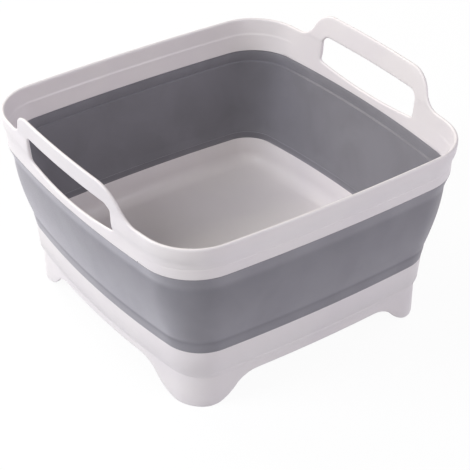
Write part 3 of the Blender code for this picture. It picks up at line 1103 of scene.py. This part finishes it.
class SINK_OT_soft_wall(bpy.types.Operator):
    """Make the soft folding wall between the rim and the base tray"""

    bl_idname = "sink.soft_wall"
    bl_label = "Soft wall"

    def execute(self, context):
        sizes, wall = context.scene.sink_outline, context.scene.sink_wall
        rim_ring = ring(sizes, rim_foot_shape(sizes))
        inside = ring(sizes, rim_foot_shape(sizes), MM)
        inward = [((b[0] - a[0]) / MM, (b[1] - a[1]) / MM, 0.0) for a, b in zip(rim_ring, inside)]
        foot_points = [(x, y, 0.0) for x, y in ring(sizes, wall_foot_shape(sizes))]
        outline = point_object(
            "wall_outline",
            [(x, y, 0.0) for x, y in rim_ring],
            {"foot_point": foot_points, "inward": inward},
        )
        points, steps = section_points(sizes, wall)
        values = {
            "Section": point_object("wall_section", points, {"thickness_step": steps}),
            "Wall Thickness": wall.thickness,
            "Lip Width": sizes.bowl_in,
            "Finish": finishes()["grey_rubber"],
        }
        modifier = outline.modifiers.new("sweep", "NODES")
        modifier.node_group = sweep_tree()
        for socket in modifier.node_group.interface.items_tree:
            if socket.in_out == "INPUT" and socket.name in values:
                modifier[socket.identifier] = values[socket.name]
        graph = context.evaluated_depsgraph_get()
        swept = bpy.data.meshes.new_from_object(outline.evaluated_get(graph))
        mesh = bmesh.new()
        mesh.from_mesh(swept)
        outline.modifiers.remove(modifier)
        bpy.data.meshes.remove(swept)
        for name in ("wall_outline", "wall_section"):
            clear(bpy.data.objects, name)
        nodes = [name for name in frame["nodes"] if name.startswith("wall_")]
        piece = finish_piece("soft_wall", mesh, "grey_rubber", None, nodes)
        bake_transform(piece)
        return {"FINISHED"}


# Base tray

COVE_STEPS = 10
UNDERSIDE_STEPS = 8
ARCH_STEPS = 24
# Runs of the roundings at the bowl's edge, the wall's seat and the channel's top
BOWL_EDGE = 0.5 * MM
SEAT_EDGE = 0.4 * MM
CHANNEL_EDGE = 0.6 * MM
# The foot's inner edge, by its outer one
INNER_EDGE_SHARE = 0.8
# Rings that close the floor's middle, as shares of its edge
FLOOR_RINGS = (0.7, 0.35)


def arch_line(tray, half, foot):
    """Height of an arch over the table, by distance from the middle of its side."""
    side = ogee((half, tray.arch_height), (foot, 0.0), tray.arch_shoulder, ARCH_STEPS)

    def at(distance):
        distance = abs(distance)
        if distance <= half:
            return tray.arch_height
        for (x0, z0), (x1, z1) in zip(side, side[1:]):
            if x0 <= distance <= x1:
                return z0 + (z1 - z0) * (distance - x0) / (x1 - x0)
        return 0.0

    return at


def tray_loops(sizes, tray):
    """The tray's loops, from the floor's edge over the bowl, down the skirt and in underneath."""
    thick = tray.skirt_thickness
    top = sizes.tray_height
    step_z = tray.step_height
    shoulder_z = step_z + tray.shoulder_rise
    channel_z = tray.floor_top + tray.channel_rise
    wall_foot = wall_foot_shape(sizes)
    bowl = inner_shape(wall_foot, sizes.bowl_in, sizes.bowl_in, sizes.bowl_corner)
    skirt = inner_shape(wall_foot, tray.skirt_in_x, tray.skirt_in_y, tray.skirt_corner)
    shoulder_in = tray.shoulder_in
    shoulder_corner = sizes.wall_foot_corner - shoulder_in
    shoulder = inner_shape(wall_foot, shoulder_in, shoulder_in, shoulder_corner)
    channel = mix(shoulder, wall_foot, (channel_z - shoulder_z) / (top - shoulder_z))
    under_line = mix(shoulder, skirt, LINE_HALF / tray.shoulder_rise)
    cove_centre = (tray.bowl_draft + tray.cove_radius, tray.floor_top + tray.cove_radius)
    cove = arc(cove_centre, tray.cove_radius, 1.5 * math.pi, math.pi, COVE_STEPS)
    under = tray.cove_radius + tray.floor_thickness
    start = math.pi + math.asin((tray.cove_radius - tray.channel_rise) / under)
    underside = arc(cove_centre, under, start, 1.5 * math.pi, UNDERSIDE_STEPS)
    handle_side = arch_line(tray, tray.handle_arch_half, tray.handle_arch_foot)
    plain_side = arch_line(tray, tray.plain_arch_half, tray.plain_arch_foot)
    outside = ring(sizes, skirt)
    inside = ring(sizes, skirt, thick)
    edge = [max(handle_side(y), plain_side(x)) for x, y in outside]
    inner_step = step_z - thick / 2

    def flat(shape, height, inset=0.0, run=0.0):
        return level(sizes, shape, height, inset), run

    def arched(points, start_z, part, run=0.0):
        """A loop part of the way from a level height to the edge of the arches."""
        heights = [start_z + (z - start_z) * part for z in edge]
        return [Vector((x, y, z)) for (x, y), z in zip(points, heights)], run

    return soften(
        [
            *(flat(bowl, height, inset) for inset, height in cove),
            flat(bowl, top, run=BOWL_EDGE),
            flat(wall_foot, top, run=SEAT_EDGE),
            flat(shoulder, shoulder_z + LINE_HALF),
            flat(shoulder, shoulder_z, tray.line_depth),
            flat(under_line, shoulder_z - LINE_HALF),
            flat(skirt, step_z, run=tray.step_softness),
            arched(outside, step_z, 0.33),
            arched(outside, step_z, 0.66),
            arched(outside, step_z, 1.0, tray.foot_edge),
            arched(inside, inner_step, 1.0, tray.foot_edge * INNER_EDGE_SHARE),
            arched(inside, inner_step, 0.5),
            flat(skirt, inner_step, thick),
            flat(shoulder, shoulder_z - thick / 2, thick),
            flat(channel, channel_z, thick, CHANNEL_EDGE),
            *(flat(bowl, height, inset) for inset, height in underside),
        ]
    )


class SINK_OT_base_tray(bpy.types.Operator):
    """Make the rigid base tray with the skirt and arches that leave its four feet"""

    bl_idname = "sink.base_tray"
    bl_label = "Base tray"

    def execute(self, context):
        scene = context.scene
        mesh = bmesh.new()
        loops = tray_loops(scene.sink_outline, scene.sink_tray)
        rows = [[mesh.verts.new(point) for point in loop] for loop in loops]
        join_rows(mesh, rows, closed=True)
        for row in (rows[0], rows[-1]):
            rings = [row]
            for part in FLOOR_RINGS:
                places = [(vert.co.x * part, vert.co.y * part, vert.co.z) for vert in row]
                rings.append([mesh.verts.new(place) for place in places])
            join_rows(mesh, rings, closed=True)
            mesh.faces.new(rings[-1])
        finish_piece("base_tray_moulding", mesh, "white_plastic", "base", ["base_tray"])
        return {"FINISHED"}


# Stage

WHITE = (1.0, 1.0, 1.0, 1.0)
SENSOR_WIDTH = 36.0
LIGHT_TARGET = Vector((0.0, 0.0, 0.1))
# Place, width, watts and colour of each soft light
LIGHTS = {
    "key_light": ((-1.8, 0.5, 1.35), 1.0, 37.5, (0.965, 0.975, 1.0)),
    "back_light": ((-0.3, 1.7, 1.5), 1.0, 26.5, (1.0, 0.955, 0.83)),
    "front_light": ((-0.9, -1.6, 1.5), 1.2, 6.8, (1.0, 0.95, 0.85)),
    "fill_light": ((1.2, -1.8, 0.9), 1.2, 18.5, (0.93, 0.89, 1.0)),
}
WORLD_TINT = (1.0, 0.973, 0.907, 1.0)
WORLD_LIGHT = 0.31
FLOOR_TONE = (0.58, 0.59, 0.62, 1.0)
# The floor seen directly: strength of its white, and the white's share
FLOOR_WHITE = 1.03
FLOOR_WHITE_SHARE = 0.92


def add_light(name, place, width, power, tint):
    """A square soft light that faces the basin."""
    lamp = bpy.data.lights.new(name, "AREA")
    lamp.shape = "SQUARE"
    lamp.size = width
    lamp.energy = power
    lamp.color = tint
    thing = new_object(name, lamp)
    thing.location = place
    thing.rotation_euler = (LIGHT_TARGET - Vector(place)).to_track_quat("-Z", "Y").to_euler()


def seen_directly(tree):
    """1 where the camera, a mirror or glass looks at the surface, 0 for other light."""
    path = tree.nodes.new("ShaderNodeLightPath").outputs
    either = calculate(tree, "MAXIMUM", path["Is Camera Ray"], path["Is Glossy Ray"])
    return calculate(tree, "MAXIMUM", either, path["Is Transmission Ray"])


def floor_finish():
    """A pale floor that melts into the white background and keeps a soft shadow."""
    finish, tree, shader, place = new_finish("studio_floor")
    grain = noise(tree, place, 30.0, Detail=3.0)
    roughness = map_range(tree, grain, To_Min=0.55, To_Max=0.62)
    feed(tree, shader, Roughness=roughness, Base_Color=FLOOR_TONE, Specular_IOR_Level=0.1)
    glow = tree.nodes.new("ShaderNodeEmission")
    feed(tree, glow, Color=WHITE, Strength=FLOOR_WHITE)
    white_share = calculate(tree, "MULTIPLY", seen_directly(tree), FLOOR_WHITE_SHARE)
    blend = tree.nodes.new("ShaderNodeMixShader")
    sources = (white_share, shader.outputs["BSDF"], glow.outputs["Emission"])
    for source, socket in zip(sources, blend.inputs):
        connect(tree, source, socket)
    feed(tree, tree.nodes["Material Output"], Surface=blend.outputs["Shader"])
    return finish


def white_world():
    """A white background that lights the basin softly and a little warm."""
    world = bpy.data.worlds.new("white_studio")
    world.use_nodes = True
    tree = world.node_tree
    seen = seen_directly(tree)
    tint = blend_colours(tree, seen, WORLD_TINT, WHITE)
    strength = calculate(tree, "MULTIPLY_ADD", seen, 1.0 - WORLD_LIGHT, WORLD_LIGHT)
    feed(tree, tree.nodes["Background"], Color=tint, Strength=strength)
    return world


class SINK_OT_stage(bpy.types.Operator):
    """Make the floor, the soft lights, the white background and the camera"""

    bl_idname = "sink.stage"
    bl_label = "Stage"

    def execute(self, context):
        scene = context.scene
        stage = scene.sink_stage
        half = stage.floor_half
        data = bpy.data.meshes.new("studio_floor")
        corners = [(-half, -half, 0), (half, -half, 0), (half, half, 0), (-half, half, 0)]
        data.from_pydata(corners, [], [(0, 1, 2, 3)])
        data.materials.append(floor_finish())
        floor = new_object("studio_floor", data)
        for name, light in LIGHTS.items():
            add_light(name, *light)
        scene.world = white_world()
        scene.view_settings.view_transform = "Standard"
        lens = bpy.data.cameras.new("camera")
        lens.lens = stage.lens
        lens.sensor_width = SENSOR_WIDTH
        camera = new_object("camera", lens)
        camera.matrix_world = (
            Matrix.Translation(stage.camera_place)
            @ Matrix.Rotation(stage.azimuth, 4, "Z")
            @ Matrix.Rotation(math.pi / 2 - stage.elevation, 4, "X")
            @ Matrix.Rotation(stage.roll, 4, "Z")
        )
        scene.camera = camera
        return {"FINISHED"}


class SINK_PT_panel(bpy.types.Panel):
    """Lists the sink's pieces and their sizes"""

    bl_label = "Collapsible sink"
    bl_idname = "SINK_PT_panel"
    bl_space_type = "VIEW_3D"
    bl_region_type = "UI"
    bl_category = "Sink"

    def draw(self, context):
        layout = self.layout
        for operator in OPERATORS:
            layout.operator(operator.bl_idname)
        for name in SETTINGS:
            box = layout.box()
            settings = getattr(context.scene, name)
            box.label(text=type(settings).__doc__)
            for key in settings.__annotations__:
                box.prop(settings, key)


OPERATORS = (SINK_OT_stage, SINK_OT_base_tray, SINK_OT_soft_wall, SINK_OT_rim_frame)
SETTINGS = {
    "sink_outline": SinkOutlineSizes,
    "sink_rim": SinkRimSizes,
    "sink_wall": SinkWallSizes,
    "sink_tray": SinkTraySizes,
    "sink_finishes": SinkFinishes,
    "sink_stage": SinkStageSizes,
}
CLASSES = (*SETTINGS.values(), *OPERATORS, SINK_PT_panel)


def register():
    for kind in CLASSES:
        bpy.utils.register_class(kind)
    for name, kind in SETTINGS.items():
        setattr(bpy.types.Scene, name, PointerProperty(type=kind))


def unregister():
    for name in SETTINGS:
        delattr(bpy.types.Scene, name)
    for kind in reversed(CLASSES):
        bpy.utils.unregister_class(kind)


def main():
    register()
    bpy.ops.sink.stage()
    bpy.ops.sink.base_tray()
    bpy.ops.sink.soft_wall()
    bpy.ops.sink.rim_frame()


if __name__ == "__main__":
    main()
